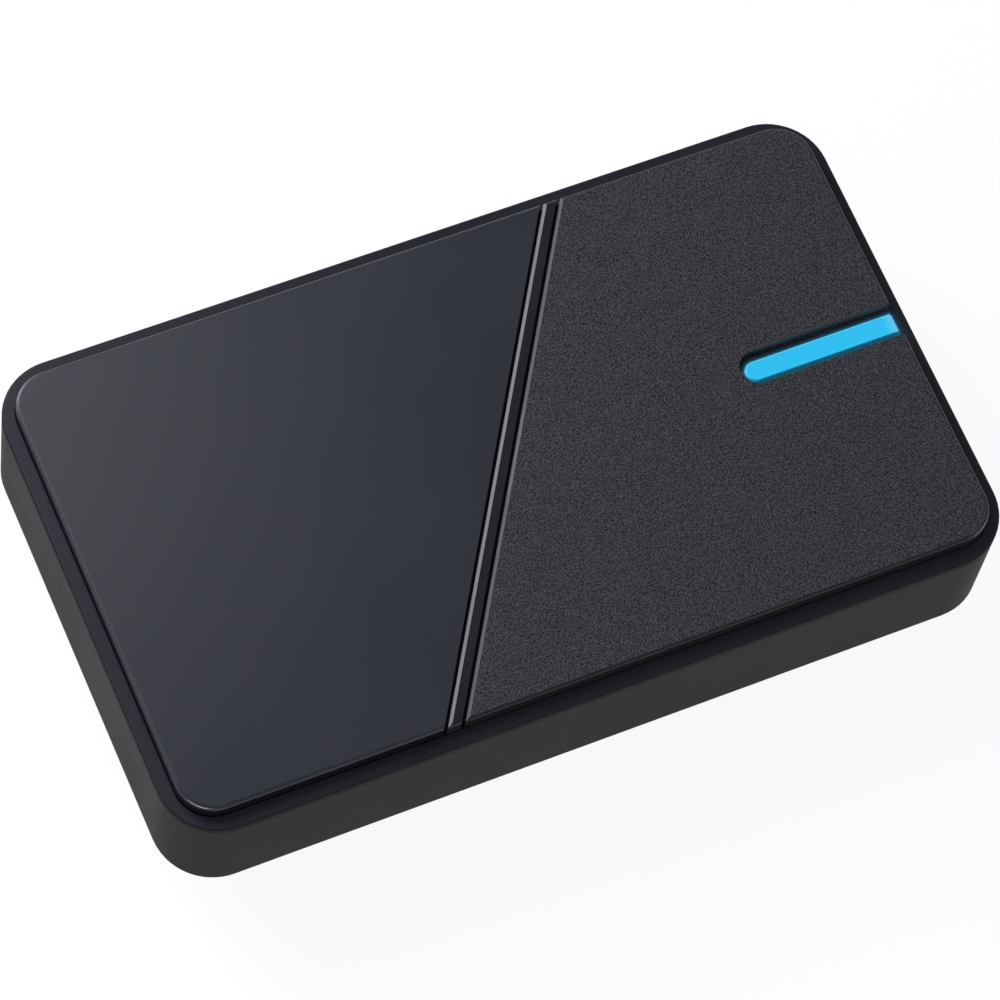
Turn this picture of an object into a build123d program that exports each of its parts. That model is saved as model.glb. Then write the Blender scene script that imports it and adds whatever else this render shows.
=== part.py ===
from build123d import *
import os

# A pocket video capture box, in millimetres.
# X runs along the long side, the sockets are on the +Y wall, and Z is up.
# The origin is under the middle of the box, on the surface that its feet stand on.

# Driving sizes of the whole box
box_length = 112.6
box_width = 66.2
corner_radius = 7.8
wall_height = 16.4
plate_rise = 2.2
hull_height = 6.2
foot_proud = 1.2
overrun = 1.0

# Bottom case
wall_thick = 1.8
floor_thick = 1.8
hull_step = 1.2
hull_inset = 6.0
hull_side_thick = 2.2
hull_corner = 3.6
shelf_thick = 1.8
lip_thick = 0.9
wall_foot_round = 0.6
boss_end_inset = 11.3
boss_side_inset = 11.1
boss_radius = 3.4
port_post_radius = 2.0
port_post_shares = [(-0.12, 0.39), (0.12, 0.39)]
vent_width = 2.0
vent_length = 22.0
vent_pitch = 3.6
vent_count = 5
vent_end_inset = 13.9

# Raised plate: two panels and a strip between two slanted grooves
ledge_end_width = 1.9
ledge_side_width = 2.15
plate_corner = 4.9
plate_round = 0.5
panel_skin = 1.5
panel_skirt = 1.4
diagonal_lean = 32.6
strip_offset = -0.22
strip_width = 1.54
groove_width = 0.42
groove_bevel_width = 0.42
groove_bevel_depth = 0.25
post_radius = 1.0
stake_radius = 1.5
stake_height = 0.5
strip_post_radius = 0.55
strip_stake_radius = 0.9
post_gap = 0.08
smooth_post_shares = [(-0.34, -0.39), (-0.34, 0.39), (0.04, 0.39), (-0.24, -0.39)]
textured_post_shares = [(0.25, 0.39), (0.33, -0.39), (-0.03, -0.39)]
strip_post_shares = [0.29, -0.29]

# Top cover
cover_thick = 2.0
rim_height = 0.8
rim_round = 0.25
lip_gap = 0.12
seam_gap = 0.08
pocket_depth = 0.8
pocket_gap = 0.1
upper_boss_radius = 3.0
rib_height = 1.6
rib_thick = 1.0
rib_clear = 3.0

# Light bar, its slot and the lamps under it
slot_width = 4.65
slot_length = 21.95
slot_depth = 1.6
slot_side_offset = 0.18
bar_width = 2.85
bar_drop = 1.3
bar_bevel = 0.2
bar_end_round = 0.4
bar_hole_gap = 0.1
flange_width = 5.4
flange_thick = 1.0
flange_end_gap = 0.4
reflector_height = 2.4
reflector_wall = 1.0
reflector_end_wall = 1.4
lamp_count = 5
lamp_length = 2.0
lamp_width = 1.25
lamp_height = 0.8
led_board_width = 16.0
led_board_thick = 1.0
led_board_lead = 3.6
led_board_end_gap = 0.3
led_board_corner = 1.0
led_boss_radius = 2.2
led_boss_bore_depth = 3.0
led_boss_inset = 2.2
led_boss_share = 0.3
led_screw_radius = 0.8
led_screw_head_radius = 1.7
led_screw_head_height = 1.0

# Main board
board_thick = 1.6
board_corner = 2.0
board_shelf_gap = 0.8
board_end_gap = 4.5
board_front_gap = 3.3
board_back_gap = 1.0

# Case screws, from below
well_radius = 2.5
well_depth = 2.6
screw_head_radius = 2.2
screw_head_height = 1.5
screw_radius = 1.25
screw_bore_gap = 0.15
well_margin = 0.25
screw_pilot_gap = 0.02
screw_bite = 5.4
screw_tip_gap = 0.4
recess_width = 0.55
recess_depth = 0.8
recess_arm_share = 0.67
head_bevel_share = 0.25

# Feet and label
foot_length = 16.0
foot_width = 7.0
foot_sink = 0.8
foot_gap = 0.1
foot_bevel = 0.3
foot_boss_offset = 13.5
foot_side_share = 0.3
label_vent_gap = 5.0
label_width = 22.0
label_corner = 1.5
label_sink = 0.3
label_thick = 0.25
label_gap = 0.15

# Video sockets: mouth 14 by 4.55 with two bevelled lower corners
mouth_width = 14.0
mouth_height = 4.55
mouth_low_share = 0.75
mouth_knee_share = 0.38
mouth_corner = 0.4
video_shell_thick = 0.3
video_depth = 11.0
video_block_depth = 3.6
blade_side_gap = 1.2
blade_thick = 1.1
blade_lift = 2.1
blade_setback = 1.4
pin_pitch = 1.0
pin_width = 0.45
pin_thick = 0.12
pin_setback = 0.6
upper_pin_count = 10
lower_pin_count = 9
video_in_share = 0.266
video_out_share = 0.053

# Data and power socket: a stadium mouth
data_mouth_width = 8.34
data_mouth_height = 2.56
data_shell_thick = 0.3
data_depth = 7.35
data_block_depth = 2.2
data_blade_side_gap = 0.825
data_blade_thick = 0.7
data_blade_setback = 0.6
data_pin_pitch = 0.5
data_pin_width = 0.25
data_pin_thick = 0.08
data_pin_setback = 0.5
data_pin_count = 12
data_port_share = -0.16
port_gap = 0.2
port_setback = 0.2
block_gap = 0.05

# Parts on the main board: the processor under its heat sink, and the chips behind the sockets
processor_side = 19.0
processor_height = 1.6
pad_margin = 1.0
pad_thick = 0.8
sink_left_inset = 20.0
sink_shield_gap = 9.0
sink_back_gap = 3.4
sink_front_gap = 9.5
sink_top_gap = 1.0
sink_base = 2.0
sink_fin_thick = 1.0
sink_fin_count = 10
sink_pin_radius = 1.0
sink_pin_gap = 0.15
sink_pin_head_radius = 2.0
sink_pin_head_height = 1.0
sink_pin_barb_radius = 1.35
sink_pin_barb_height = 0.8
sink_pin_end_inset = 2.4
sink_pin_side_inset = 4.0
sink_pin_land = 5.0
memory_length = 7.5
memory_width = 10.5
memory_height = 1.1
memory_gap = 1.0
memory_pair_gap = 1.2
receiver_side = 8.0
receiver_height = 0.9
shield_length = 14.0
shield_width = 13.0
shield_height = 2.4
shield_thick = 0.3
shield_gap = 1.2
output_side = 6.5
output_height = 0.9
output_gap = 1.8
data_chip_side = 5.0
data_chip_height = 0.9
data_chip_gap = 1.0

# Parts on the main board: one column by its left edge, one row by its front edge
flash_length = 5.0
flash_width = 6.0
flash_height = 1.6
flash_inset = 14.0
flash_shares = [0.05]
regulator_side = 3.2
regulator_height = 0.9
regulator_inset = 13.0
regulator_shares = [-0.12, -0.24, -0.36]
inductor_side = 6.0
inductor_height = 3.0
inductor_corner = 0.8
inductor_inset = 5.0
inductor_shares = [-0.18, -0.04, 0.1]
can_radius = 2.5
can_height = 5.4
can_base_height = 0.8
can_base_margin = 0.15
can_top_bevel = 0.4
can_inset = 14.0
can_shares = [0.29, 0.176]
chip_cap_length = 1.6
chip_cap_width = 0.9
chip_cap_height = 0.8
chip_cap_count = 8
chip_cap_row_share = -0.41
chip_cap_span_share = 0.56
crystal_length = 3.2
crystal_width = 2.5
crystal_height = 0.8
crystal_corner = 0.3
crystal_shares = [(0.2, -0.22), (0.2, -0.34)]

# Flat cable between the two boards
socket_length = 4.4
socket_width = 8.0
socket_height = 1.2
socket_lead = 1.0
cable_width = 6.0
cable_thick = 0.2
cable_run = 3.0

# Heights, from the floor up
under_z = foot_proud
floor_z = under_z + floor_thick
wall_z = under_z + hull_height
shelf_z = wall_z + shelf_thick
ledge_z = wall_z + wall_height
plate_z = ledge_z + plate_rise
pocket_z = ledge_z - pocket_depth
cover_z = ledge_z - cover_thick
rim_z = ledge_z - rim_height
board_z = shelf_z + board_shelf_gap
board_top_z = board_z + board_thick
flange_z = cover_z - flange_thick
led_top_z = flange_z - reflector_height
led_z = led_top_z - led_board_thick

# Places that several pieces share
back_y = box_width / 2
board_length = box_length - 2 * wall_thick - 2 * board_end_gap
board_width = box_width - 2 * wall_thick - board_back_gap - board_front_gap
board_y = back_y - wall_thick - board_back_gap - board_width / 2
boss_x = box_length / 2 - boss_end_inset
boss_y = box_width / 2 - boss_side_inset
video_in_x = video_in_share * box_length
video_out_x = video_out_share * box_length
data_port_x = data_port_share * box_length
mouth_y = back_y - port_setback
video_rear_y = mouth_y - video_depth
data_rear_y = mouth_y - data_depth
blade_width = mouth_width - 2 * blade_side_gap
data_blade_width = data_mouth_width - 2 * data_blade_side_gap
plate_length = box_length - 2 * ledge_end_width
plate_width = box_width - 2 * ledge_side_width
panel_height = plate_rise + pocket_depth
web_thick = cover_thick - pocket_depth
slot_left = plate_length / 2 - slot_length
bar_left = slot_left + (slot_width - bar_width) / 2
bar_right = plate_length / 2
flange_left = bar_left - (flange_width - bar_width) / 2
flange_right = box_length / 2 - wall_thick - flange_end_gap
led_board_left = flange_left - led_board_lead
led_board_right = box_length / 2 - wall_thick - led_board_end_gap
led_board_length = led_board_right - led_board_left
led_board_middle = (led_board_left + led_board_right) / 2
socket_x = led_board_left + socket_lead + socket_length / 2
socket_y = slot_side_offset - led_board_width / 2 + socket_lead + socket_width / 2
sink_left = sink_left_inset - board_length / 2
sink_right = video_in_x - shield_length / 2 - sink_shield_gap
sink_back_y = video_rear_y - sink_back_gap
sink_front_y = board_y - board_width / 2 + sink_front_gap
sink_length = sink_right - sink_left
sink_width = sink_back_y - sink_front_y
sink_x = (sink_left + sink_right) / 2
sink_y = (sink_front_y + sink_back_y) / 2
sink_z = board_top_z + processor_height + pad_thick
sink_fin_height = cover_z - sink_top_gap - sink_base - sink_z


def slab(length, width, corner, low_z, high_z):
    """Upright plate with rounded corners between two heights."""
    return Pos(0, 0, low_z) * extrude(RectangleRounded(length, width, corner), amount=high_z - low_z)


def inset_slab(inset, low_z, high_z):
    """Plate that follows the box's outline, drawn in by one inset."""
    return slab(box_length - 2 * inset, box_width - 2 * inset, corner_radius - inset, low_z, high_z)


def inset_face(inset, corner, z):
    return Pos(0, 0, z) * RectangleRounded(box_length - 2 * inset, box_width - 2 * inset, corner)


def block(length, width, height):
    return Box(length, width, height, align=(Align.CENTER, Align.CENTER, Align.MIN))


def peg(radius, height):
    return Cylinder(radius, height, align=(Align.CENTER, Align.CENTER, Align.MIN))


def boss_places():
    return [(sx * boss_x, sy * boss_y) for sx in (-1, 1) for sy in (-1, 1)]


def on_board(share):
    """Place on top of the main board, in shares of its length and width."""
    return Pos(share[0] * board_length, board_y + share[1] * board_width, board_top_z)


def in_column(inset, shares):
    """Places in a line at one distance from the main board's left edge."""
    x = inset - board_length / 2
    return [Pos(x, board_y + share * board_width, board_top_z) for share in shares]


def behind(x, rear_y, gap, width):
    """Place on the main board of a part that lies behind a socket."""
    return Pos(x, rear_y - gap - width / 2, board_top_z)


def on_plate(share):
    return Pos(share[0] * plate_length, share[1] * plate_width, 0)


def hull_inset_at(z):
    """How far the tapered underside is drawn in at one height."""
    return hull_step + (hull_inset - hull_step) * (wall_z - z) / hull_height


def back_face(outline, x, z):
    """Stand a flat outline in the back wall's plane, at the socket mouths."""
    return Pos(x, mouth_y, z) * Plane.XZ.location * outline


# Outlines of the raised plate's pieces
def plate_face():
    return RectangleRounded(plate_length, plate_width, plate_corner)


def strip_place():
    """Middle of the slanted strip, turned to run along it."""
    return Pos(strip_offset, 0) * Rot(0, 0, -diagonal_lean)


def side_face(side):
    """Half plane beyond one groove of the slanted strip."""
    reach = box_length
    edge = strip_width / 2 + groove_width + reach / 2
    return strip_place() * Pos(side * edge, 0) * Rectangle(reach, 2 * reach)


def strip_face():
    band = Rectangle(strip_width, 2 * box_length)
    return plate_face() & (strip_place() * band)


def bar_face(left, right, width):
    """Bar outline: a half round left end and a square right end."""
    half = width / 2
    middle = left + half
    square = Pos((middle + right) / 2, slot_side_offset) * Rectangle(right - middle, width)
    return square + Pos(middle, slot_side_offset) * Circle(half)


def smooth_face():
    return plate_face() & side_face(-1)


def textured_face():
    hole = bar_face(bar_left - bar_hole_gap, plate_length / 2 + overrun, bar_width + 2 * bar_hole_gap)
    return (plate_face() & side_face(1)) - hole


# Outlines of the sockets' mouths
def video_face(grow):
    half = mouth_width / 2
    low = half * mouth_low_share
    knee = mouth_height * mouth_knee_share
    top = mouth_height
    points = [(-half, top), (half, top), (half, knee), (low, 0), (-low, 0), (-half, knee)]
    outline = make_face(Polyline(*points, close=True))
    outline = fillet(outline.vertices(), mouth_corner)
    return offset(outline, amount=grow) if grow > 0 else outline


def data_face(grow):
    middle = Pos(0, data_mouth_height / 2)
    return middle * SlotOverall(data_mouth_width + 2 * grow, data_mouth_height + 2 * grow)


def video_z():
    return board_top_z + video_shell_thick


def data_z():
    return board_top_z + data_shell_thick


def port_windows():
    """Holes in the back wall round the three sockets."""
    video = video_face(video_shell_thick + port_gap)
    data = data_face(data_shell_thick + port_gap)
    depth = wall_thick + 2 * overrun
    holes = [back_face(video, x, video_z()) for x in (video_in_x, video_out_x)]
    holes.append(back_face(data, data_port_x, data_z()))
    return [Pos(0, overrun, 0) * extrude(hole, amount=depth, dir=(0, -1, 0)) for hole in holes]


# Shells
def underside():
    """Tapered hull below the walls, with its own hollow."""
    outer = loft([inset_face(hull_inset, hull_corner, under_z),
                  inset_face(hull_step, corner_radius - hull_step, wall_z)], ruled=True)
    inner_top = hull_step + hull_side_thick
    inner_low = hull_inset_at(floor_z) + hull_side_thick
    hollow = loft([inset_face(inner_low, hull_corner, floor_z),
                   inset_face(inner_top, corner_radius - inner_top, wall_z)], ruled=True)
    return outer - hollow


def wall_ring():
    """Four upright walls with a shelf below, and a seat and lip for the cover."""
    lip_z = rim_z - seam_gap
    ring = inset_slab(0, wall_z, lip_z)
    ring = fillet(ring.edges().group_by(Axis.Z)[0], wall_foot_round)
    inner_top = hull_step + hull_side_thick
    ring -= inset_slab(wall_thick, shelf_z, cover_z)
    ring -= inset_slab(inner_top, wall_z - overrun, shelf_z + overrun)
    return ring - inset_slab(lip_thick, cover_z, lip_z + overrun)


def vents():
    slots = []
    for side in (-1, 1):
        for index in range(vent_count):
            x = side * (box_length / 2 - vent_end_inset - index * vent_pitch)
            slot = Rot(0, 0, 90) * SlotOverall(vent_length, vent_width)
            slots.append(Pos(x, 0, under_z - overrun) * extrude(slot, amount=floor_thick + 2 * overrun))
    return slots


def foot_places():
    x = boss_x - foot_boss_offset
    y = foot_side_share * box_width
    return [(sx * x, sy * y) for sx in (-1, 1) for sy in (-1, 1)]


def label_length():
    """The label fills the room between the two groups of vents."""
    inner_vent = box_length / 2 - vent_end_inset - (vent_count - 1) * vent_pitch
    return 2 * (inner_vent - vent_width / 2 - label_vent_gap)


def bottom_case():
    case = wall_ring() + underside()
    seat_z = under_z + well_depth
    board_lift = board_z - floor_z
    for x, y in boss_places():
        case += Pos(x, y, floor_z) * peg(boss_radius, board_lift)
        case += Pos(x, y, floor_z) * peg(well_radius + well_margin, well_depth)
        case -= Pos(x, y, under_z - overrun) * peg(well_radius, well_depth + overrun)
        case -= Pos(x, y, seat_z) * peg(screw_radius + screw_bore_gap, board_z - seat_z + overrun)
    for share in port_post_shares:
        x = share[0] * board_length
        y = board_y + share[1] * board_width
        case += Pos(x, y, floor_z) * peg(port_post_radius, board_lift)
    for x, y in foot_places():
        recess = SlotOverall(foot_length + 2 * foot_gap, foot_width + 2 * foot_gap)
        case -= Pos(x, y, under_z - overrun) * extrude(recess, amount=foot_sink + overrun)
    label = RectangleRounded(label_length() + 2 * label_gap, label_width + 2 * label_gap, label_corner)
    case -= Pos(0, 0, under_z - overrun) * extrude(label, amount=label_sink + overrun)
    for tool in vents() + port_windows():
        case -= tool
    return case


def led_boss_places():
    spread = led_boss_share * led_board_length
    half = led_board_width / 2 - led_boss_inset
    return [(led_board_middle + side * spread, slot_side_offset - side * half) for side in (-1, 1)]


def strip_post_places():
    return [strip_place() * Pos(0, share * plate_width) for share in strip_post_shares]


def rib_places():
    """Stiffening ribs, one beyond each end of the heat sink."""
    return [sink_left - rib_clear, sink_right + rib_clear]


def cover_holes():
    """Holes for the panels' staked posts."""
    through = cover_thick + 2 * overrun
    wide = peg(post_radius + post_gap, through)
    thin = peg(strip_post_radius + post_gap, through)
    low = Pos(0, 0, cover_z - overrun)
    holes = [low * on_plate(share) * wide for share in smooth_post_shares + textured_post_shares]
    return holes + [low * place * thin for place in strip_post_places()]


def top_cover():
    rim = inset_slab(0, rim_z, ledge_z)
    rim = fillet(rim.edges().group_by(Axis.Z)[-1], rim_round)
    cover = rim + inset_slab(lip_thick + lip_gap, cover_z, rim_z)
    pocket = RectangleRounded(plate_length + 2 * pocket_gap, plate_width + 2 * pocket_gap, plate_corner)
    cover -= Pos(0, 0, pocket_z) * extrude(pocket, amount=pocket_depth + overrun)
    bar = bar_face(bar_left - bar_hole_gap, bar_right + bar_hole_gap, bar_width + 2 * bar_hole_gap)
    cover -= Pos(0, 0, cover_z - overrun) * extrude(bar, amount=cover_thick + 2 * overrun)
    boss_height = cover_z - board_top_z
    bore_depth = screw_bite + screw_tip_gap
    for x, y in boss_places():
        cover += Pos(x, y, board_top_z) * peg(upper_boss_radius, boss_height)
        cover -= Pos(x, y, board_top_z - overrun) * peg(screw_radius + screw_pilot_gap, bore_depth + overrun)
    for x, y in led_boss_places():
        cover += Pos(x, y, led_top_z) * peg(led_boss_radius, cover_z - led_top_z)
        pilot = peg(led_screw_radius + screw_pilot_gap, led_boss_bore_depth + overrun)
        cover -= Pos(x, y, led_top_z - overrun) * pilot
    for x in rib_places():
        rib = block(rib_thick, sink_width, rib_height)
        cover += Pos(x, sink_y, cover_z - rib_height) * rib
    for hole in cover_holes():
        cover -= hole
    return cover


# Raised plate
def plate_piece(face):
    """One piece of the plate, whose outer edge is rounded before the plate is parted."""
    plate = extrude(plate_face(), amount=panel_height)
    plate = fillet(plate.edges().group_by(Axis.Z)[-1], plate_round)
    return plate & extrude(face, amount=panel_height)


def slant_bevel(edge):
    """Cutter for the shallow bevel on a slanted edge that faces the left end."""
    slope = groove_bevel_depth / groove_bevel_width
    left = edge - overrun
    right = edge + groove_bevel_width + overrun
    low = plate_z - groove_bevel_depth - overrun * slope
    high = plate_z + overrun * slope
    outline = make_face(Polyline((left, low), (right, high), (left, high), close=True))
    return strip_place() * extrude(Plane.XZ.location * outline, amount=box_length, both=True)


def panel(face, posts, radius, head_radius):
    """Panel with a hollow underside and staked posts."""
    body = plate_piece(face)
    hollow_height = panel_height - panel_skin
    for pocket in offset(face, amount=-panel_skirt).faces():
        body -= extrude(pocket, amount=hollow_height, dir=(0, 0, 1))
    for place in posts:
        body += place * Pos(0, 0, -web_thick) * peg(radius, web_thick + hollow_height)
        body += place * Pos(0, 0, -web_thick - stake_height) * peg(head_radius, stake_height)
    return Pos(0, 0, pocket_z) * body


def smooth_panel():
    return panel(smooth_face(), [on_plate(share) for share in smooth_post_shares], post_radius, stake_radius)


def textured_panel():
    """The slot is a recess with a floor, and the light bar comes up through a hole in that."""
    places = [on_plate(share) for share in textured_post_shares]
    slot = bar_face(slot_left, plate_length / 2 + overrun, slot_width)
    recess = Pos(0, 0, plate_z - slot_depth) * extrude(slot, amount=slot_depth + overrun)
    body = panel(textured_face(), places, post_radius, stake_radius)
    return body - recess - slant_bevel(strip_width / 2 + groove_width)


def diagonal_trim():
    body = plate_piece(strip_face())
    for place in strip_post_places():
        body += place * Pos(0, 0, -web_thick) * peg(strip_post_radius, web_thick)
        body += place * Pos(0, 0, -web_thick - stake_height) * peg(strip_stake_radius, stake_height)
    return Pos(0, 0, pocket_z) * body - slant_bevel(-strip_width / 2)


# Light bar and what lights it
def light_bar():
    height = plate_z - bar_drop - flange_z
    bar = extrude(bar_face(bar_left, bar_right, bar_width), amount=height)
    bar = fillet(bar.edges().filter_by(Axis.Z).sort_by(Axis.X)[-2:], bar_end_round)
    bar = chamfer(bar.edges().group_by(Axis.Z)[-1], bar_bevel)
    flange = extrude(bar_face(flange_left, flange_right, flange_width), amount=flange_thick)
    beyond = block(bar_width, flange_width, flange_thick)
    bar -= Pos(flange_right + bar_width / 2, slot_side_offset, 0) * beyond
    return Pos(0, 0, flange_z) * (bar + flange)


def lamp_places():
    first = flange_left + flange_width / 2
    step = (flange_right - reflector_end_wall - lamp_length - first) / (lamp_count - 1)
    return [(first + index * step, slot_side_offset) for index in range(lamp_count)]


def light_reflector():
    """White frame: one tapering well over each lamp."""
    frame = extrude(bar_face(flange_left, flange_right, flange_width), amount=reflector_height)
    well_width = flange_width - 2 * reflector_wall
    for x, y in lamp_places():
        low = Pos(x, 0, 0) * Rectangle(lamp_length + reflector_wall, lamp_width + reflector_wall)
        high = Pos(x, 0, reflector_height) * Rectangle(lamp_length + reflector_wall, well_width)
        frame -= Pos(0, y, 0) * loft([low, high], ruled=True)
    return Pos(0, 0, led_top_z) * frame


def led_board():
    outline = RectangleRounded(led_board_length, led_board_width, led_board_corner)
    board = Pos(led_board_middle, slot_side_offset, led_z) * extrude(outline, amount=led_board_thick)
    hole = peg(led_screw_radius + screw_bore_gap, led_board_thick + 2 * overrun)
    for x, y in led_boss_places():
        board -= Pos(x, y, led_z - overrun) * hole
    return board


def bar_leds():
    return [Pos(x, y, led_top_z) * block(lamp_length, lamp_width, lamp_height) for x, y in lamp_places()]


def cross_recess(head_radius):
    """Cross-shaped cutter for a screw's drive, open downwards."""
    arm = block(2 * head_radius * recess_arm_share, recess_width, recess_depth + overrun)
    return Pos(0, 0, -overrun) * (arm + Rot(0, 0, 90) * arm)


def screw(head_radius, head_height, radius, length):
    """Screw pointing up, its head's top face at zero."""
    head = peg(head_radius, head_height)
    head = chamfer(head.edges().group_by(Axis.Z)[0], head_height * head_bevel_share)
    shank = Pos(0, 0, head_height) * peg(radius, length)
    return head + shank - cross_recess(head_radius)


def led_board_screws():
    length = led_board_thick + led_boss_bore_depth - screw_tip_gap
    piece = screw(led_screw_head_radius, led_screw_head_height, led_screw_radius, length)
    return [Pos(x, y, led_z - led_screw_head_height) * piece for x, y in led_boss_places()]


# Flat cable and its sockets
def cable_socket(low_z):
    return Pos(socket_x, socket_y, low_z) * block(socket_length, socket_width, socket_height)


def flat_cable():
    """Flat strip that leaves one socket, turns round and enters the other."""
    start_x = socket_x - socket_length / 2
    high = led_z - socket_height / 2
    low = board_top_z + socket_height / 2
    turn_x = start_x - cable_run
    turn = (high - low) / 2
    half = cable_thick / 2
    outer = Pos(turn_x, (high + low) / 2) * Circle(turn + half)
    inner = Pos(turn_x, (high + low) / 2) * Circle(turn - half)
    cut_width = 2 * turn + cable_thick
    cut = Pos(turn_x + cut_width / 2, (high + low) / 2) * Rectangle(cut_width, 2 * cut_width)
    runs = [Pos(turn_x + cable_run / 2, z) * Rectangle(cable_run, cable_thick) for z in (high, low)]
    profile = (outer - inner - cut) + runs[0] + runs[1]
    strip = extrude(Plane.XZ.location * profile, amount=cable_width / 2, both=True)
    return Pos(0, socket_y, 0) * strip


# Main board and what stands on it
def main_board():
    outline = RectangleRounded(board_length, board_width, board_corner)
    board = Pos(0, board_y, board_z) * extrude(outline, amount=board_thick)
    through = board_thick + 2 * overrun
    for x, y in boss_places():
        board -= Pos(x, y, board_z - overrun) * peg(screw_radius + screw_bore_gap, through)
    for x, y in sink_pin_places():
        board -= Pos(x, y, board_z - overrun) * peg(sink_pin_radius + sink_pin_gap, through)
    return board


def processor_place():
    return Pos(sink_x, sink_y, board_top_z)


def sink_pin_places():
    reach = sink_length / 2 - sink_pin_end_inset
    half = sink_width / 2 - sink_pin_side_inset
    return [(sink_x + side * reach, sink_y - side * half) for side in (-1, 1)]


def capture_processor():
    return processor_place() * block(processor_side, processor_side, processor_height)


def thermal_pad():
    side = processor_side - 2 * pad_margin
    return processor_place() * Pos(0, 0, processor_height) * block(side, side, pad_thick)


def heat_sink():
    place = Pos(sink_x, sink_y, sink_z)
    sink = place * block(sink_length, sink_width, sink_base)
    step = (sink_width - sink_fin_thick) / (sink_fin_count - 1)
    for index in range(sink_fin_count):
        y = index * step - (sink_width - sink_fin_thick) / 2
        fin = block(sink_length, sink_fin_thick, sink_fin_height)
        sink += place * Pos(0, y, sink_base) * fin
    for x, y in sink_pin_places():
        land = block(sink_pin_land, sink_pin_land, sink_fin_height + overrun)
        sink -= Pos(x, y, sink_z + sink_base) * land
        sink -= Pos(x, y, sink_z - overrun) * peg(sink_pin_radius + sink_pin_gap, sink_base + 2 * overrun)
    return sink


def heat_sink_pins():
    """Push pins: a head on the sink and a barb under the board."""
    top_z = sink_z + sink_base
    low_z = board_z - sink_pin_barb_height
    pin = Pos(0, 0, top_z) * peg(sink_pin_head_radius, sink_pin_head_height)
    pin += Pos(0, 0, low_z) * peg(sink_pin_radius, top_z - low_z)
    pin += Pos(0, 0, low_z) * Cone(sink_pin_radius, sink_pin_barb_radius, sink_pin_barb_height,
                                   align=(Align.CENTER, Align.CENTER, Align.MIN))
    return [Pos(x, y, 0) * pin for x, y in sink_pin_places()]


def chips(places, length, width, height):
    return [place * block(length, width, height) for place in places]


def memory_places():
    x = sink_x - processor_side / 2 - memory_gap - memory_length / 2
    half = (memory_width + memory_pair_gap) / 2
    return [Pos(x, sink_y + side * half, board_top_z) for side in (-1, 1)]


def receiver_place():
    return behind(video_in_x, video_rear_y, shield_gap, shield_width)


def receiver_shield():
    inner_length = shield_length - 2 * shield_thick
    inner_width = shield_width - 2 * shield_thick
    can = block(shield_length, shield_width, shield_height)
    hollow = block(inner_length, inner_width, shield_height - shield_thick)
    return receiver_place() * (can - hollow)


def output_chip():
    place = behind(video_out_x, video_rear_y, output_gap, output_side)
    return place * block(output_side, output_side, output_height)


def data_chip():
    place = behind(data_port_x, data_rear_y, data_chip_gap, data_chip_side)
    return place * block(data_chip_side, data_chip_side, data_chip_height)


def flash_chip():
    return in_column(flash_inset, flash_shares)[0] * block(flash_length, flash_width, flash_height)


def power_regulators():
    places = in_column(regulator_inset, regulator_shares)
    return chips(places, regulator_side, regulator_side, regulator_height)


def power_inductors():
    body = extrude(RectangleRounded(inductor_side, inductor_side, inductor_corner), amount=inductor_height)
    return [place * body for place in in_column(inductor_inset, inductor_shares)]


def bulk_capacitors():
    can = chamfer(peg(can_radius, can_height).edges().group_by(Axis.Z)[-1], can_top_bevel)
    side = 2 * (can_radius + can_base_margin)
    piece = can + block(side, side, can_base_height)
    return [place * piece for place in in_column(can_inset, can_shares)]


def chip_capacitors():
    step = chip_cap_span_share / (chip_cap_count - 1)
    first = -chip_cap_span_share / 2
    places = [on_board((first + index * step, chip_cap_row_share)) for index in range(chip_cap_count)]
    return chips(places, chip_cap_length, chip_cap_width, chip_cap_height)


def crystals():
    body = extrude(RectangleRounded(crystal_length, crystal_width, crystal_corner), amount=crystal_height)
    return [on_board(share) * body for share in crystal_shares]


# Sockets
def tube(outer_face, inner_face, x, z, depth):
    """Socket shell: an open tube that runs in from the mouth."""
    outer = extrude(back_face(outer_face, x, z), amount=depth, dir=(0, -1, 0))
    inner = extrude(back_face(inner_face, x, z), amount=depth + overrun, dir=(0, -1, 0))
    return outer - inner - Pos(0, overrun, 0) * inner


def bar_into(x, z, width, thick, front_y, depth):
    """Flat bar that runs back from one distance behind the mouth."""
    bar = Box(width, depth, thick, align=(Align.CENTER, Align.MAX, Align.MIN))
    return Pos(x, front_y, z) * bar


def video_shell(x):
    return tube(video_face(video_shell_thick), video_face(0), x, video_z(), video_depth)


def video_insulator(x):
    rear_y = video_rear_y + video_block_depth
    length = video_depth - video_block_depth - blade_setback
    inner = offset(video_face(0), amount=-block_gap)
    plug = Pos(x, rear_y, video_z()) * Plane.XZ.location * inner
    plug = extrude(plug, amount=video_block_depth, dir=(0, -1, 0))
    blade = bar_into(x, video_z() + blade_lift, blade_width, blade_thick, mouth_y - blade_setback, length)
    return plug + blade


def pin_row(x, z, count, pitch, width, thick, front_y, length):
    first = x - pitch * (count - 1) / 2
    return [bar_into(first + index * pitch, z, width, thick, front_y, length) for index in range(count)]


def video_contacts(x):
    front_y = mouth_y - blade_setback - pin_setback
    length = video_depth - video_block_depth - blade_setback - pin_setback
    low_z = video_z() + blade_lift
    upper = pin_row(x, low_z + blade_thick, upper_pin_count, pin_pitch, pin_width, pin_thick, front_y, length)
    lower = pin_row(x, low_z - pin_thick, lower_pin_count, pin_pitch, pin_width, pin_thick, front_y, length)
    return upper + lower


def data_port_shell():
    return tube(data_face(data_shell_thick), data_face(0), data_port_x, data_z(), data_depth)


def data_blade_z():
    return data_z() + (data_mouth_height - data_blade_thick) / 2


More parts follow.
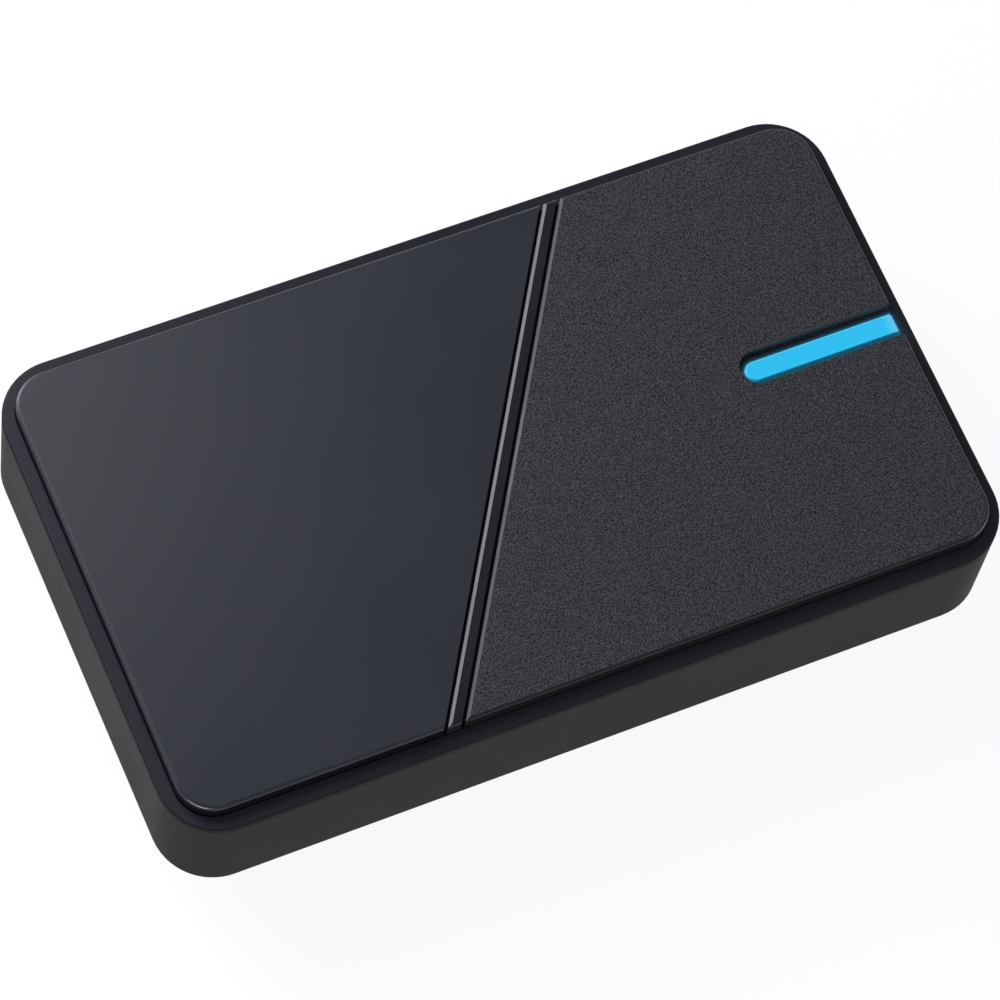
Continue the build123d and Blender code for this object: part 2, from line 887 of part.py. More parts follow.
def data_port_insulator():
    rear_y = data_rear_y + data_block_depth
    length = data_depth - data_block_depth - data_blade_setback
    plug = Pos(data_port_x, rear_y, data_z()) * Plane.XZ.location * data_face(-block_gap)
    plug = extrude(plug, amount=data_block_depth, dir=(0, -1, 0))
    front_y = mouth_y - data_blade_setback
    return plug + bar_into(data_port_x, data_blade_z(), data_blade_width, data_blade_thick, front_y, length)


def data_port_contacts():
    front_y = mouth_y - data_blade_setback - data_pin_setback
    length = data_depth - data_block_depth - data_blade_setback - data_pin_setback
    sizes = (data_pin_count, data_pin_pitch, data_pin_width, data_pin_thick, front_y, length)
    upper = pin_row(data_port_x, data_blade_z() + data_blade_thick, *sizes)
    return upper + pin_row(data_port_x, data_blade_z() - data_pin_thick, *sizes)


# Screws, feet and label
def case_screws():
    seat_z = under_z + well_depth
    length = board_top_z + screw_bite - seat_z
    piece = screw(screw_head_radius, screw_head_height, screw_radius, length)
    return [Pos(x, y, seat_z - screw_head_height) * piece for x, y in boss_places()]


def rubber_feet():
    pad = extrude(SlotOverall(foot_length, foot_width), amount=foot_proud + foot_sink)
    pad = chamfer(pad.edges().group_by(Axis.Z)[0], foot_bevel)
    return [Pos(x, y, 0) * pad for x, y in foot_places()]


def label_plate():
    plate = extrude(RectangleRounded(label_length(), label_width, label_corner), amount=label_thick)
    return Pos(0, 0, under_z + label_sink - label_thick) * plate


def write(name, shape):
    """Write one sub-part; a list becomes a group of separate solids."""
    if isinstance(shape, list):
        shape = Compound(children=shape)
    export_step(shape, "parts/" + name + ".step")


def main():
    os.makedirs("parts", exist_ok=True)
    write("bottom_case", bottom_case())
    write("top_cover", top_cover())
    write("smooth_panel", smooth_panel())
    write("textured_panel", textured_panel())
    write("diagonal_trim", diagonal_trim())
    write("light_bar", light_bar())
    write("light_reflector", light_reflector())
    write("led_board", led_board())
    write("bar_leds", bar_leds())
    write("led_board_screws", led_board_screws())
    write("led_board_socket", cable_socket(led_z - socket_height))
    write("main_board_socket", cable_socket(board_top_z))
    write("flat_cable", flat_cable())
    write("main_board", main_board())
    write("capture_processor", capture_processor())
    write("thermal_pad", thermal_pad())
    write("heat_sink", heat_sink())
    write("heat_sink_pins", heat_sink_pins())
    write("memory_chips", chips(memory_places(), memory_length, memory_width, memory_height))
    write("receiver_chip", receiver_place() * block(receiver_side, receiver_side, receiver_height))
    write("receiver_shield", receiver_shield())
    write("output_chip", output_chip())
    write("data_chip", data_chip())
    write("flash_chip", flash_chip())
    write("power_regulators", power_regulators())
    write("power_inductors", power_inductors())
    write("bulk_capacitors", bulk_capacitors())
    write("chip_capacitors", chip_capacitors())
    write("crystals", crystals())
    for name, x in (("video_in", video_in_x), ("video_out", video_out_x)):
        write(name + "_shell", video_shell(x))
        write(name + "_insulator", video_insulator(x))
        write(name + "_contacts", video_contacts(x))
    write("data_port_shell", data_port_shell())
    write("data_port_insulator", data_port_insulator())
    write("data_port_contacts", data_port_contacts())
    write("case_screws", case_screws())
    write("rubber_feet", rubber_feet())
    write("label_plate", label_plate())


main()
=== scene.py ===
import math
import bpy
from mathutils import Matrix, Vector

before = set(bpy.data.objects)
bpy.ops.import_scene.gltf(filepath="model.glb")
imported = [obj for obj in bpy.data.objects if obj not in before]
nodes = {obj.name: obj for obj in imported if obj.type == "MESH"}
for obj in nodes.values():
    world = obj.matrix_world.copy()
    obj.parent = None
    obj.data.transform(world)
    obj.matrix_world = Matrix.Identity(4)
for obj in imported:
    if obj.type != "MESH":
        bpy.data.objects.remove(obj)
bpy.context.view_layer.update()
mm = 0.001  # every length below is in millimetres until it meets this
patchDetail, grainDetail = 3.0, 2.0  # how finely patches and grains break up
patchSpan = (0.3, 0.7)  # nearly all of a patch noise lies in here, so this is spread to 0 and 1
print("frame loaded,", len(nodes), "pieces")


def toLinear(hexColour):
    # sRGB hex to the linear values that sockets take
    channels = [int(hexColour[i:i + 2], 16) / 255 for i in (1, 3, 5)]
    linear = [c / 12.92 if c <= 0.04045 else ((c + 0.055) / 1.055) ** 2.4 for c in channels]
    return (*linear, 1.0)


def linkAll(tree, node, links):
    # links each source to the node's socket of that name or number
    for key, source in links.items():
        tree.links.new(source, node.inputs[key])


def addNode(tree, kind, settings=None, links=None):
    # a node with its settings and links; a name or number that is a socket's sets that socket
    node = tree.nodes.new(kind)
    for key, value in (settings or {}).items():
        if isinstance(key, int) or key in node.inputs:
            node.inputs[key].default_value = value
        else:
            setattr(node, key, value)
    linkAll(tree, node, links or {})
    return node


def startMaterial(name, finish):
    # empty material with its shader, and the piece's own coordinates
    material = bpy.data.materials.new(name)
    material.use_nodes = True
    tree = material.node_tree
    tree.nodes.clear()
    shader = addNode(tree, "ShaderNodeBsdfPrincipled", {
        "Metallic": finish.get("metallic", 0.0),
        "IOR": finish.get("ior", 1.5),
        "Specular IOR Level": finish.get("specular", 0.5),
    })
    addNode(tree, "ShaderNodeOutputMaterial", links={"Surface": shader.outputs[0]})
    place = addNode(tree, "ShaderNodeTexCoord").outputs["Object"]
    return material, tree, shader, place


def drift(tree, place, finish):
    # cloudy patches between 0 and 1, for tones and roughness that drift over a surface
    patchSize = {"Scale": 1 / (finish["patchMm"] * mm), "Detail": patchDetail}
    noise = addNode(tree, "ShaderNodeTexNoise", patchSize, {0: place}).outputs[0]
    low, high = patchSpan
    return addNode(tree, "ShaderNodeMapRange", {1: low, 2: high}, {0: noise}).outputs[0]


def upward(tree, finish):
    # 0 on sides, 1 on faces that look up, and in between where an edge turns within the finish's range
    low, high = finish["sideRange"]
    normal = addNode(tree, "ShaderNodeNewGeometry").outputs["Normal"]
    height = addNode(tree, "ShaderNodeSeparateXYZ", links={0: normal}).outputs["Z"]
    return addNode(tree, "ShaderNodeMapRange", {1: low, 2: high}, {0: height}).outputs[0]


def paintGlow(tree, shader, place, paintedGlow):
    # painted glow: emission standing in for the lit bar's light on the plastic round it: power times e to
    # the (round - away) / reach, at most power, where away is the distance from a box with those half sizes
    middle = tuple(value * mm for value in paintedGlow["middle"])
    half = tuple(value * mm for value in paintedGlow["half"])
    away = addNode(tree, "ShaderNodeVectorMath", {"operation": "SUBTRACT", 1: middle}, {0: place}).outputs[0]
    away = addNode(tree, "ShaderNodeVectorMath", {"operation": "ABSOLUTE"}, {0: away}).outputs[0]
    away = addNode(tree, "ShaderNodeVectorMath", {"operation": "SUBTRACT", 1: half}, {0: away}).outputs[0]
    away = addNode(tree, "ShaderNodeVectorMath", {"operation": "MAXIMUM"}, {0: away}).outputs[0]  # or 0
    away = addNode(tree, "ShaderNodeVectorMath", {"operation": "LENGTH"}, {0: away}).outputs["Value"]
    reach, power = paintedGlow["reachMm"], paintedGlow["power"]
    slope, start = -1 / (reach * mm), paintedGlow["roundMm"] / reach + math.log(power)
    line = {"operation": "MULTIPLY_ADD", 1: slope, 2: start}
    fade = addNode(tree, "ShaderNodeMath", line, {0: away}).outputs[0]
    fade = addNode(tree, "ShaderNodeMath", {"operation": "EXPONENT"}, {0: fade}).outputs[0]
    fade = addNode(tree, "ShaderNodeMath", {"operation": "MINIMUM", 1: power}, {0: fade}).outputs[0]
    shader.inputs["Emission Color"].default_value = toLinear(paintedGlow["tone"])
    linkAll(tree, shader, {"Emission Strength": fade})


def plainFinish(name, finish):
    # two near tones, a roughness that drifts with them, and a fine grain; stretch draws all of it out
    material, tree, shader, place = startMaterial(name, finish)
    if "stretch" in finish:
        place = addNode(tree, "ShaderNodeMapping", {"Scale": finish["stretch"]}, {0: place}).outputs[0]
    patches = drift(tree, place, finish)
    lowTone, highTone = (toLinear(tone) for tone in finish["tones"])
    twoTones = {"data_type": "RGBA", 6: lowTone, 7: highTone}
    tones = addNode(tree, "ShaderNodeMix", twoTones, {0: patches}).outputs[2]
    lowRough, highRough = finish["roughness"]
    rough = addNode(tree, "ShaderNodeMapRange", {3: lowRough, 4: highRough}, {0: patches}).outputs[0]
    if "sideTone" in finish:  # painted shade: sides and bevels get a darker tone, and their own polish
        top = upward(tree, finish)
        sideTone = {"data_type": "RGBA", 6: toLinear(finish["sideTone"])}
        tones = addNode(tree, "ShaderNodeMix", sideTone, {0: top, 7: tones}).outputs[2]
        sideRough = {3: finish["sideRoughness"]}
        rough = addNode(tree, "ShaderNodeMapRange", sideRough, {0: top, 4: rough}).outputs[0]
    grainSize = {"Scale": 1 / (finish["grainMm"] * mm), "Detail": grainDetail}
    grain = addNode(tree, "ShaderNodeTexNoise", grainSize, {0: place}).outputs[0]
    depth = {"Distance": finish["depthMm"] * mm}
    bump = addNode(tree, "ShaderNodeBump", depth, {"Height": grain}).outputs[0]
    linkAll(tree, shader, {"Base Color": tones, "Roughness": rough, "Normal": bump})
    # painted glow round the bar, as emission, where the finish has one
    if "paintedGlow" in finish:
        paintGlow(tree, shader, place, finish["paintedGlow"])
    return material


def wear(material, *nodeNames):
    # gives CAD pieces their finish
    for nodeName in nodeNames:
        if not nodes[nodeName].material_slots:
            nodes[nodeName].data.materials.append(material)
        for slot in nodes[nodeName].material_slots:
            slot.material = material


# Walls and underside
casePlastic = {
    "tones": ("#1a1a1c", "#1f1f21"), "patchMm": 14.0,
    "grainMm": 0.25, "depthMm": 0.012,  # real spark grain is near 0.05 mm, drawn coarser so that it shows
    "roughness": (0.5, 0.58), "ior": 1.5, "specular": 0.04,
}
wear(plainFinish("mouldedSatinAbs", casePlastic), "bottom_case")  # nearly black, a soft broad sheen

# Ledge round the raised plate
paintedBarGlow = {"middle": (50.0, 0.18, 24.0), "tone": "#00c3ff"}  # painted glow, as emission, for the bar's light on the two pieces round it
coverPlastic = {
    "tones": ("#25262f", "#292a33"), "patchMm": 12.0,
    "grainMm": 0.25, "depthMm": 0.006,  # drawn coarser, as on the walls
    "roughness": (0.32, 0.38), "ior": 1.5, "specular": 0.2,
    "sideTone": "#060608", "sideRoughness": 0.85, "sideRange": (0.85, 0.98),  # painted shade: the rim's edge is a dark line
    # painted glow on the ledge by the bar's end
    "paintedGlow": {**paintedBarGlow, "half": (4.0, 1.0, 5.0), "roundMm": 0.4, "power": 0.3, "reachMm": 0.3},
}
wear(plainFinish("mouldedCoolAbs", coverPlastic), "top_cover")  # a little bluer and smoother than the walls

# Larger half of the raised plate
smoothPanel = {
    "tones": ("#20222d", "#23252f"), "patchMm": 18.0,
    "grainMm": 0.3, "depthMm": 0.004,  # the paint's faint unevenness
    "roughness": (0.34, 0.39), "ior": 1.5, "specular": 0.5,
    "sideTone": "#0b0b10", "sideRoughness": 0.22, "sideRange": (0.45, 0.75),  # painted shade: sides dark, bevel as the top
}
wear(plainFinish("satinPaintedAbs", smoothPanel), "smooth_panel")  # blue-black charcoal, smooth and even

# Slanted strip between the two halves
trimPlastic = {
    "tones": ("#18191f", "#1b1c22"), "patchMm": 10.0,
    "grainMm": 0.4, "depthMm": 0.002,  # hardly seen, as after polishing
    "roughness": (0.25, 0.3), "ior": 1.5, "specular": 0.38,
}
wear(plainFinish("polishedAbs", trimPlastic), "diagonal_trim")  # darker flat, bright bevelled edge

# Grained half of the raised plate
texturedPanel = {
    "tones": ("#020203", "#484a50"), "pitSpan": (0.35, 0.65),  # painted shade deep in a pit and painted light on its rim
    "grainMm": 0.22, "depthMm": 0.1,  # real grain is near 0.1 mm, drawn coarser so that it shows
    "sideRange": (0.85, 0.98),  # bevels count as sides
    "slotMm": (4.0, 6.0), "sideShadeShares": (0.4, 0.08),  # painted shade on sides: slot walls, near the middle, charcoal; edge black
    "patchMm": 16.0, "roughness": (0.5, 0.6), "edgeRoughness": 0.36, "ior": 1.5, "specular": 0.28,
    # painted glow on the slot round the bar
    "paintedGlow": {**paintedBarGlow, "half": (15.225, 0.0, 5.0), "roundMm": 1.425, "power": 0.4, "reachMm": 0.16},
}


def sparkGrain(name, finish):
    # spark-eroded mould: small pits side by side, with painted light on each pit's rim and painted shade
    # deep in it, and painted shade on the slot walls and edge; its edges are smooth
    material, tree, shader, place = startMaterial(name, finish)
    top = upward(tree, finish)
    pitSize = {"Scale": 1 / (finish["grainMm"] * mm), "Detail": grainDetail}
    pits = addNode(tree, "ShaderNodeTexNoise", pitSize, {0: place}).outputs[0]
    pitLow, pitHigh = finish["pitSpan"]
    paintedShade = addNode(tree, "ShaderNodeMapRange", {1: pitLow, 2: pitHigh}, {0: pits}).outputs[0]
    across = addNode(tree, "ShaderNodeSeparateXYZ", links={0: place}).outputs["Y"]
    across = addNode(tree, "ShaderNodeMath", {"operation": "ABSOLUTE"}, {0: across}).outputs[0]
    slotEnd, edgeStart = (y * mm for y in finish["slotMm"])
    wallShade, edgeShade = finish["sideShadeShares"]
    outwards = {1: slotEnd, 2: edgeStart, 3: wallShade, 4: edgeShade}
    sideShade = addNode(tree, "ShaderNodeMapRange", outwards, {0: across}).outputs[0]
    paintedShade = addNode(tree, "ShaderNodeMapRange", links={0: top, 3: sideShade, 4: paintedShade}).outputs[0]
    lowTone, highTone = (toLinear(tone) for tone in finish["tones"])
    twoTones = {"data_type": "RGBA", 6: lowTone, 7: highTone}
    tones = addNode(tree, "ShaderNodeMix", twoTones, {0: paintedShade}).outputs[2]
    lowRough, highRough = finish["roughness"]
    patches = drift(tree, place, finish)
    rough = addNode(tree, "ShaderNodeMapRange", {3: lowRough, 4: highRough}, {0: patches}).outputs[0]
    rough = addNode(tree, "ShaderNodeMapRange", {3: finish["edgeRoughness"]}, {0: top, 4: rough}).outputs[0]
    height = addNode(tree, "ShaderNodeMath", {"operation": "MULTIPLY"}, {0: pits, 1: top}).outputs[0]
    depth = {"Distance": finish["depthMm"] * mm}
    bump = addNode(tree, "ShaderNodeBump", depth, {"Height": height}).outputs[0]
    # painted glow round the bar
    paintGlow(tree, shader, place, finish["paintedGlow"])
    linkAll(tree, shader, {"Base Color": tones, "Roughness": rough, "Normal": bump})
    return material


wear(sparkGrain("sparkGrainAbs", texturedPanel), "textured_panel")  # charcoal with a fine, dull sparkle

# Light bar
lightBar = {
    "body": "#0b3a4c", "top": "#2dbff0", "side": "#0a3d54", "paintedHighlight": "#7fd3f4", "power": 0.96,
    "litFrom": (-0.3, 0.45, 0.85), "litSpan": (0.2, 0.8),  # faces turned this way are even blue
    "highlightFrom": (-0.6, 0.6, 0.53), "highlightSpan": (0.56, 0.75), "highlightShare": 0.6,  # and these get a partly pale painted highlight
    "highlightEndMm": (52.9, 54.4), "cloudMm": 2.5, "roughness": (0.24, 0.3), "specular": 0.25,
}


def litOpal(name, finish):
    # opal polycarbonate lit from below: even blue on top, deep down its sides, with a painted pale highlight
    # at its back edge and end
    material, tree, shader, place = startMaterial(name, finish)
    normal = addNode(tree, "ShaderNodeNewGeometry").outputs["Normal"]
    litFrom, highlightFrom = ({"operation": "DOT_PRODUCT", 1: finish[key]} for key in ("litFrom", "highlightFrom"))
    lit = addNode(tree, "ShaderNodeVectorMath", litFrom, {0: normal}).outputs["Value"]
    low, high = finish["litSpan"]
    lit = addNode(tree, "ShaderNodeMapRange", {1: low, 2: high}, {0: lit}).outputs[0]
    paintedHighlight = addNode(tree, "ShaderNodeVectorMath", highlightFrom, {0: normal}).outputs["Value"]
    share = finish["highlightShare"]
    low, high = finish["highlightSpan"]
    paintedHighlight = addNode(tree, "ShaderNodeMapRange", {1: low, 2: high, 4: share}, {0: paintedHighlight}).outputs[0]
    # painted highlight at the bar's right end as well
    along = addNode(tree, "ShaderNodeSeparateXYZ", links={0: place}).outputs["X"]
    low, high = (x * mm for x in finish["highlightEndMm"])
    endHighlight = addNode(tree, "ShaderNodeMapRange", {1: low, 2: high, 4: share}, {0: along}).outputs[0]
    paintedHighlight = addNode(tree, "ShaderNodeMath", {"operation": "MAXIMUM"}, {0: paintedHighlight, 1: endHighlight}).outputs[0]
    sideTone, topTone, highlightTone = (toLinear(finish[key]) for key in ("side", "top", "paintedHighlight"))
    twoTones = {"data_type": "RGBA", 6: topTone, 7: highlightTone}
    tones = addNode(tree, "ShaderNodeMix", twoTones, {0: paintedHighlight}).outputs[2]
    tones = addNode(tree, "ShaderNodeMix", {"data_type": "RGBA", 6: sideTone}, {0: lit, 7: tones}).outputs[2]
    cloudSize = {"Scale": 1 / (finish["cloudMm"] * mm)}
    cloud = addNode(tree, "ShaderNodeTexNoise", cloudSize, {0: place}).outputs[0]
    lowRough, highRough = finish["roughness"]
    rough = addNode(tree, "ShaderNodeMapRange", {3: lowRough, 4: highRough}, {0: cloud}).outputs[0]
    shader.inputs["Base Color"].default_value = toLinear(finish["body"])
    shader.inputs["Emission Strength"].default_value = finish["power"]
    linkAll(tree, shader, {"Emission Color": tones, "Roughness": rough})
    return material


wear(litOpal("litOpalPolycarbonate", lightBar), "light_bar")  # clear sky blue, even, with a faint shine

# Underside
labelFilm = {
    "tones": ("#2b2b2d", "#303032"), "patchMm": 9.0,
    "grainMm": 0.3, "depthMm": 0.004, "roughness": (0.5, 0.58),
}
wear(plainFinish("matPolyesterFilm", labelFilm), "label_plate")  # bare, a shade paler than the case
footRubber = {
    "tones": ("#141414", "#1a1a1a"), "patchMm": 4.0,
    "grainMm": 0.3, "depthMm": 0.02, "roughness": (0.8, 0.9),
}
wear(plainFinish("mouldedRubber", footRubber), "rubber_feet")  # black, no shine
blackZinc = {
    "tones": ("#3a3a3c", "#48484a"), "patchMm": 1.5,
    "grainMm": 0.2, "depthMm": 0.005, "roughness": (0.3, 0.42), "metallic": 1.0,
}
wear(plainFinish("blackZincSteel", blackZinc), "case_screws", "led_board_screws")  # dark, with a soft shine

# Sockets, whose real grains and lines are under 0.1 mm and drawn coarser so that they show
drawnSteel = {
    "tones": ("#b9b9b6", "#cbcbc8"), "patchMm": 3.0, "stretch": (1.0, 0.1, 1.0),
    "grainMm": 0.12, "depthMm": 0.002, "roughness": (0.2, 0.32), "metallic": 1.0,
}
wear(plainFinish("nickelledDrawnSteel", drawnSteel),  # bright, with fine lines that run inwards
     "video_in_shell", "video_out_shell", "data_port_shell")
socketPlastic = {
    "tones": ("#161617", "#1c1c1d"), "patchMm": 3.0,
    "grainMm": 0.15, "depthMm": 0.004, "roughness": (0.4, 0.5),
}
wear(plainFinish("glassFilledPolymer", socketPlastic),  # plain black, a little dull from its glass fibre
     "video_in_insulator", "video_out_insulator", "data_port_insulator")
goldFlash = {
    "tones": ("#d9a441", "#e8bb5c"), "patchMm": 0.8,
    "grainMm": 0.1, "depthMm": 0.001, "roughness": (0.18, 0.28), "metallic": 1.0,
}
wear(plainFinish("goldFlashedBronze", goldFlash),  # small warm glints in the mouths
     "video_in_contacts", "video_out_contacts", "data_port_contacts")

# Boards
solderMask = {
    "tones": ("#0f3a24", "#1d5a38"),  # bare laminate under the lacquer, and tracks
    "trackMm": 1.1, "trackSpan": (0.42, 0.5), "scatter": 0.7, "depthMm": 0.03,
    "patchMm": 6.0, "roughness": (0.28, 0.36), "ior": 1.55,
}


def maskedBoard(name, finish):
    # lacquer over copper tracks, which show as paler raised paths with square corners
    material, tree, shader, place = startMaterial(name, finish)
    scale = 1 / (finish["trackMm"] * mm)
    square = {"Scale": scale, "distance": "CHEBYCHEV", "Randomness": finish["scatter"]}
    cells = addNode(tree, "ShaderNodeTexVoronoi", square, {0: place}).outputs["Distance"]
    low, high = finish["trackSpan"]
    tracks = addNode(tree, "ShaderNodeMapRange", {1: low, 2: high}, {0: cells}).outputs[0]
    lowTone, highTone = (toLinear(tone) for tone in finish["tones"])
    twoTones = {"data_type": "RGBA", 6: lowTone, 7: highTone}
    tones = addNode(tree, "ShaderNodeMix", twoTones, {0: tracks}).outputs[2]
    lowRough, highRough = finish["roughness"]
    patches = drift(tree, place, finish)
    rough = addNode(tree, "ShaderNodeMapRange", {3: lowRough, 4: highRough}, {0: patches}).outputs[0]
    depth = {"Distance": finish["depthMm"] * mm}
    bump = addNode(tree, "ShaderNodeBump", depth, {"Height": tracks}).outputs[0]
    linkAll(tree, shader, {"Base Color": tones, "Roughness": rough, "Normal": bump})
    return material


wear(maskedBoard("lacqueredGlassLaminate", solderMask), "main_board", "led_board")  # deep green, glossy

# What stands on the boards, with real grains mostly under 0.1 mm and drawn coarser so that they show
insideFinishes = {
    "laminatedFlatCable": {  # pale, ribbed along its conductors
        "pieces": ("flat_cable",),
        "tones": ("#c9cbcc", "#f0f1f1"), "patchMm": 1.0, "stretch": (0.02, 1.0, 1.0),
        "grainMm": 0.5, "depthMm": 0.03, "roughness": (0.35, 0.45)},
    "mouldedEpoxy": {  # black packages, very slightly grained
        "pieces": ("capture_processor", "memory_chips", "receiver_chip", "output_chip", "data_chip",
                   "flash_chip", "power_regulators"),
        "tones": ("#17181a", "#1f2022"), "patchMm": 2.5, "grainMm": 0.12, "depthMm": 0.008,
        "roughness": (0.5, 0.62)},
    "extrudedAluminium": {  # pale metal with lines along its fins
        "pieces": ("heat_sink",),
        "tones": ("#a9abad", "#bcbec0"), "patchMm": 2.0, "stretch": (0.04, 1.0, 1.0),
        "grainMm": 0.3, "depthMm": 0.006, "roughness": (0.34, 0.46), "metallic": 1.0},
    "stampedTinplate": {  # thin bright can, slightly uneven
        "pieces": ("receiver_shield",),
        "tones": ("#b4b5b3", "#c6c7c5"), "patchMm": 4.0, "grainMm": 0.8, "depthMm": 0.01,
        "roughness": (0.3, 0.4), "metallic": 1.0},
    "filledSilicone": {  # grey, soft and dull
        "pieces": ("thermal_pad",),
        "tones": ("#7f8488", "#8d9296"), "patchMm": 2.0, "grainMm": 0.2, "depthMm": 0.01,
        "roughness": (0.8, 0.9)},
    "whiteNylon": {  # milky, lightly waxed shine
        "pieces": ("heat_sink_pins",),
        "tones": ("#d4d3cb", "#dddcd5"), "patchMm": 1.5, "grainMm": 0.3, "depthMm": 0.004,
        "roughness": (0.4, 0.5)},
    "pressedFerrite": {  # dark grey, grainy
        "pieces": ("power_inductors",),
        "tones": ("#35373a", "#45474a"), "patchMm": 1.2, "grainMm": 0.2, "depthMm": 0.02,
        "roughness": (0.65, 0.78)},
    "drawnAluminiumCan": {  # bright round cans
        "pieces": ("bulk_capacitors",),
        "tones": ("#b9bbbd", "#c9cbcd"), "patchMm": 2.0, "stretch": (1.0, 1.0, 0.08),
        "grainMm": 0.3, "depthMm": 0.003, "roughness": (0.25, 0.35), "metallic": 1.0},
    "firedCeramic": {  # tan, finely speckled
        "pieces": ("chip_capacitors",),
        "tones": ("#9c7a55", "#b08e68"), "patchMm": 0.5, "grainMm": 0.1, "depthMm": 0.004,
        "roughness": (0.45, 0.55)},
    "platedCan": {  # small bright lids
        "pieces": ("crystals",),
        "tones": ("#b7b5ad", "#c8c6be"), "patchMm": 1.0, "grainMm": 0.2, "depthMm": 0.003,
        "roughness": (0.22, 0.32), "metallic": 1.0},
    "ivoryNylon": {  # warm white sockets
        "pieces": ("main_board_socket", "led_board_socket"),
        "tones": ("#d8d2bd", "#e2ddca"), "patchMm": 1.5, "grainMm": 0.2, "depthMm": 0.004,
        "roughness": (0.45, 0.55)},
    "whiteFilledPolymer": {  # bright mat white, to spread the lamps' light
        "pieces": ("light_reflector",),
        "tones": ("#e4e4e0", "#eeeeeb"), "patchMm": 2.0, "grainMm": 0.2, "depthMm": 0.004,
        "roughness": (0.6, 0.7)},
    "phosphorResin": {  # pale lamp bodies
        "pieces": ("bar_leds",),
        "tones": ("#d9d8c4", "#e6e5d6"), "patchMm": 0.6, "grainMm": 0.15, "depthMm": 0.004,
        "roughness": (0.3, 0.4)},
}
for name, finish in insideFinishes.items():
    wear(plainFinish(name, finish), *finish["pieces"])
print("finishes done")

# Lamps: a tall soft one behind on the left, a broad one overhead, and two low ones in front, of which the
# left one gives the glint on the plate's near corner
lamps = {
    "tallSoftLight": {"at": (-545, 1069, 455), "aim": (0, 0, 455), "size": (730, 900), "watts": 16.6},
    "broadTopLight": {"at": (-125, 282, 330), "aim": (-125, 282, 0), "size": (314, 330), "watts": 0.9},
    "lowRightLight": {"at": (800, -560, 75), "aim": (0, 0, 13), "size": (700, 110), "watts": 5.0},
    "lowLeftLight": {"at": (-720, -620, 190), "aim": (-56, -33, 24), "size": (700, 160), "watts": 8.0},
}
lampTone = (0.92, 0.95, 1.0)  # a cool daylight white
for lampName, lamp in lamps.items():
    light = bpy.data.lights.new(lampName, "AREA")
    light.shape = "RECTANGLE"
    light.size, light.size_y = (side * mm for side in lamp["size"])
    light.energy = lamp["watts"]
    light.color = lampTone
    lightObject = bpy.data.objects.new(lampName, light)
    bpy.context.scene.collection.objects.link(lightObject)
    lightObject.location = Vector(lamp["at"]) * mm
    aim = Vector(lamp["aim"]) - Vector(lamp["at"])
    lightObject.rotation_euler = aim.to_track_quat("-Z", "Y").to_euler()
    lightObject.visible_camera = False

# Floor and room
studio = {
    "floorSize": 12000.0, "nearMm": 250.0, "farMm": 700.0,  # past far, the floor is plain white to the eye
    "floorTone": 0.8, "seenTone": 0.13, "seenLift": 0.9, "specular": 0.0,
    "white": "#ffffff", "worldPower": 0.22,
}


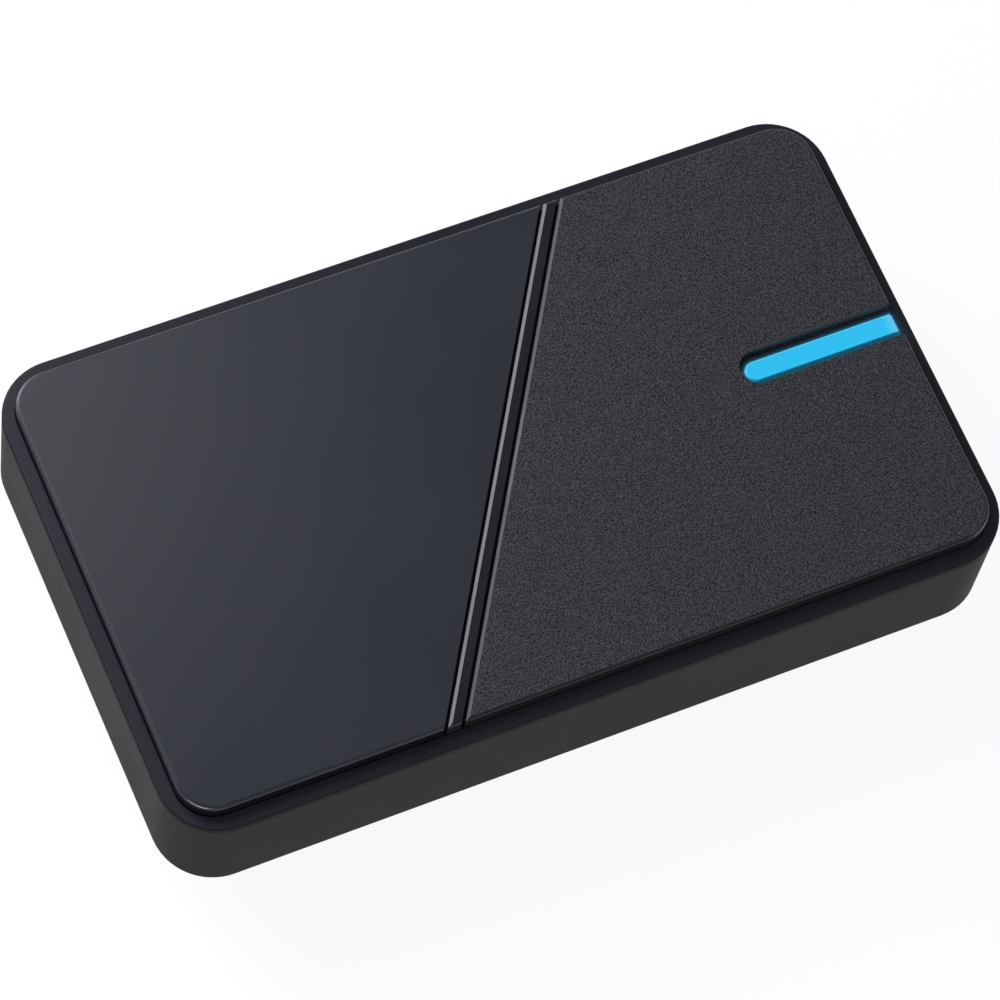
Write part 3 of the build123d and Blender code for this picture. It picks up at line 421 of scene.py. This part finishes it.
def paleFloor(name, finish):
    # pale to the light that bounces off it, nearly white with a faint shadow to the eye and in reflections,
    # and clear from below
    material, tree, shader, place = startMaterial(name, finish)
    rays = addNode(tree, "ShaderNodeLightPath").outputs
    seen = rays["Is Camera Ray"]
    for other in (rays["Is Glossy Ray"], rays["Is Transmission Ray"]):
        seen = addNode(tree, "ShaderNodeMath", {"operation": "MAXIMUM"}, {0: seen, 1: other}).outputs[0]
    away = addNode(tree, "ShaderNodeVectorMath", {"operation": "LENGTH"}, {0: place}).outputs["Value"]
    near, far = finish["nearMm"] * mm, finish["farMm"] * mm
    away = addNode(tree, "ShaderNodeMapRange", {1: near, 2: far}, {0: away}).outputs[0]
    seenTone = addNode(tree, "ShaderNodeMapRange", {3: finish["seenTone"], 4: 0.0}, {0: away}).outputs[0]
    tone = addNode(tree, "ShaderNodeMapRange", {3: finish["floorTone"]}, {0: seen, 4: seenTone}).outputs[0]
    lift = addNode(tree, "ShaderNodeMapRange", {3: finish["seenLift"], 4: 1.0}, {0: away}).outputs[0]
    lift = addNode(tree, "ShaderNodeMath", {"operation": "MULTIPLY"}, {0: lift, 1: seen}).outputs[0]
    shader.inputs["Emission Color"].default_value = toLinear(finish["white"])
    shader.inputs["Roughness"].default_value = 1.0
    linkAll(tree, shader, {"Base Color": tone, "Emission Strength": lift})
    under = addNode(tree, "ShaderNodeNewGeometry").outputs["Backfacing"]
    solid, clear = shader.outputs[0], addNode(tree, "ShaderNodeBsdfTransparent").outputs[0]
    surface = addNode(tree, "ShaderNodeMixShader", links={0: under, 1: solid, 2: clear}).outputs[0]
    linkAll(tree, tree.nodes["Material Output"], {"Surface": surface})
    return material


bpy.ops.object.select_all(action="DESELECT")
bpy.ops.mesh.primitive_plane_add(size=studio["floorSize"] * mm, location=(0, 0, 0))
floor = bpy.context.object
floor.name = "studio_floor"
floor.data.materials.append(paleFloor("paleStudioFloor", studio))

world = bpy.data.worlds.new("softRoom")
bpy.context.scene.world = world
world.use_nodes = True
world.node_tree.nodes.clear()
direct = addNode(world.node_tree, "ShaderNodeLightPath").outputs["Is Camera Ray"]
powers = {3: studio["worldPower"], 4: 1.0}  # dim as a light, plain white as a background
strength = addNode(world.node_tree, "ShaderNodeMapRange", powers, {0: direct}).outputs[0]
roomTone = {"Color": toLinear(studio["white"])}
room = addNode(world.node_tree, "ShaderNodeBackground", roomTone, {"Strength": strength}).outputs[0]
addNode(world.node_tree, "ShaderNodeOutputWorld", links={"Surface": room})

# Camera, fitted to the photo's outline and edges; its turn is in degrees
cameraView = {"lens": 181.08, "at": (-157.38, -224.30, 586.04), "turn": (24.977, -5.6303, -23.2858)}
camera = bpy.data.cameras.new("photoCamera")
camera.lens = cameraView["lens"]
cameraObject = bpy.data.objects.new("photoCamera", camera)
bpy.context.scene.collection.objects.link(cameraObject)
cameraObject.location = Vector(cameraView["at"]) * mm
cameraObject.rotation_euler = [math.radians(turn) for turn in cameraView["turn"]]
bpy.context.scene.camera = cameraObject
bpy.context.scene.view_settings.view_transform = "Standard"
print("studio ready")
